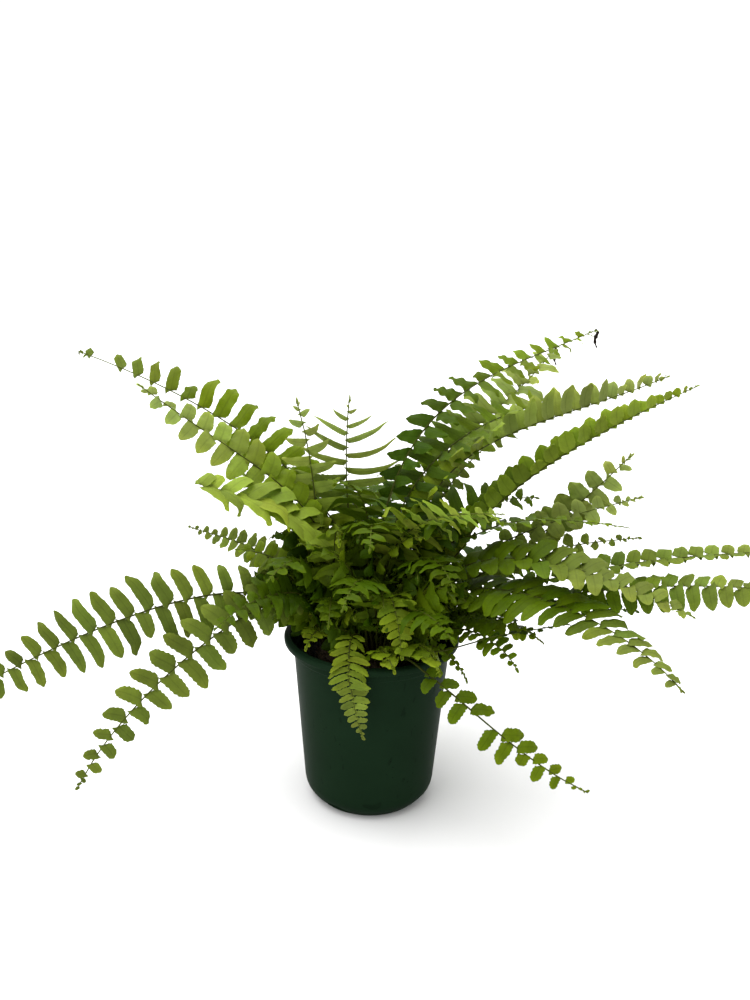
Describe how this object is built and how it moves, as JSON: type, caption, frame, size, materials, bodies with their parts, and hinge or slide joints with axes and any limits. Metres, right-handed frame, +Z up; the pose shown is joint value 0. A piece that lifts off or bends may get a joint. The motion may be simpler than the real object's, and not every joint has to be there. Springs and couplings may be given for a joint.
{
  "type": "potted fern",
  "caption": "Boston fern in a round green nursery pot: arching fronds with paired leaflets rise and droop from crowns in dark soil.",
  "frame": {"origin": "middle of the pot's flat underside", "axes": "+Z up out of the pot; +X along the plant's widest spread, to the right seen from the front; -Y towards the front"},
  "size_m": [0.6225, 0.318, 0.3398],
  "materials": {
    "pot_plastic": "dark green moulded plastic, satin, with fine scuffs",
    "soil": "damp dark potting soil, crumbly",
    "crown": "brown scaly stem bases and roots",
    "leaf_bright": "young yellow-green leaf, soft sheen",
    "leaf_mid": "mid green leaf, soft sheen, lighter underneath",
    "leaf_dark": "older deep green leaf, soft sheen"
  },
  "bodies": {
    "root": {"crown_back": "crown", "crown_centre": "crown", "crown_front": "crown", "crown_left": "crown", "crown_right": "crown", "frond_back_1": "leaf_mid", "frond_back_2": "leaf_mid", "frond_back_3": "leaf_mid", "frond_back_4": "leaf_mid", "frond_back_5": "leaf_mid", "frond_back_6": "leaf_mid", "frond_back_7": "leaf_mid", "frond_back_8": "leaf_mid", "frond_back_9": "leaf_mid", "frond_front_1": "leaf_bright", "frond_front_2": "leaf_mid", "frond_front_3": "leaf_bright", "frond_left_1": "leaf_mid", "frond_left_2": "leaf_mid", "frond_left_3": "leaf_bright", "frond_left_4": "leaf_mid", "frond_left_5": "leaf_mid", "frond_left_6": "leaf_mid", "frond_left_7": "leaf_mid", "frond_middle_1": "leaf_mid", "frond_middle_10": "leaf_mid", "frond_middle_11": "leaf_mid", "frond_middle_12": "leaf_mid", "frond_middle_2": "leaf_mid", "frond_middle_3": "leaf_mid", "frond_middle_4": "leaf_mid", "frond_middle_5": "leaf_mid", "frond_middle_6": "leaf_mid", "frond_middle_7": "leaf_mid", "frond_middle_8": "leaf_mid", "frond_middle_9": "leaf_dark", "frond_right_1": "leaf_mid", "frond_right_10": "leaf_bright", "frond_right_11": "leaf_mid", "frond_right_12": "leaf_mid", "frond_right_13": "leaf_bright", "frond_right_14": "leaf_mid", "frond_right_15": "leaf_dark", "frond_right_16": "leaf_mid", "frond_right_17": "leaf_mid", "frond_right_18": "leaf_dark", "frond_right_19": "leaf_mid", "frond_right_2": "leaf_mid", "frond_right_3": "leaf_mid", "frond_right_4": "leaf_mid", "frond_right_5": "leaf_mid", "frond_right_6": "leaf_mid", "frond_right_7": "leaf_mid", "frond_right_8": "leaf_mid", "frond_right_9": "leaf_dark", "frond_top_1": "leaf_mid", "frond_top_2": "leaf_mid", "pot": "pot_plastic", "runner": "leaf_dark", "soil": "soil"}
  },
  "joints": []
}
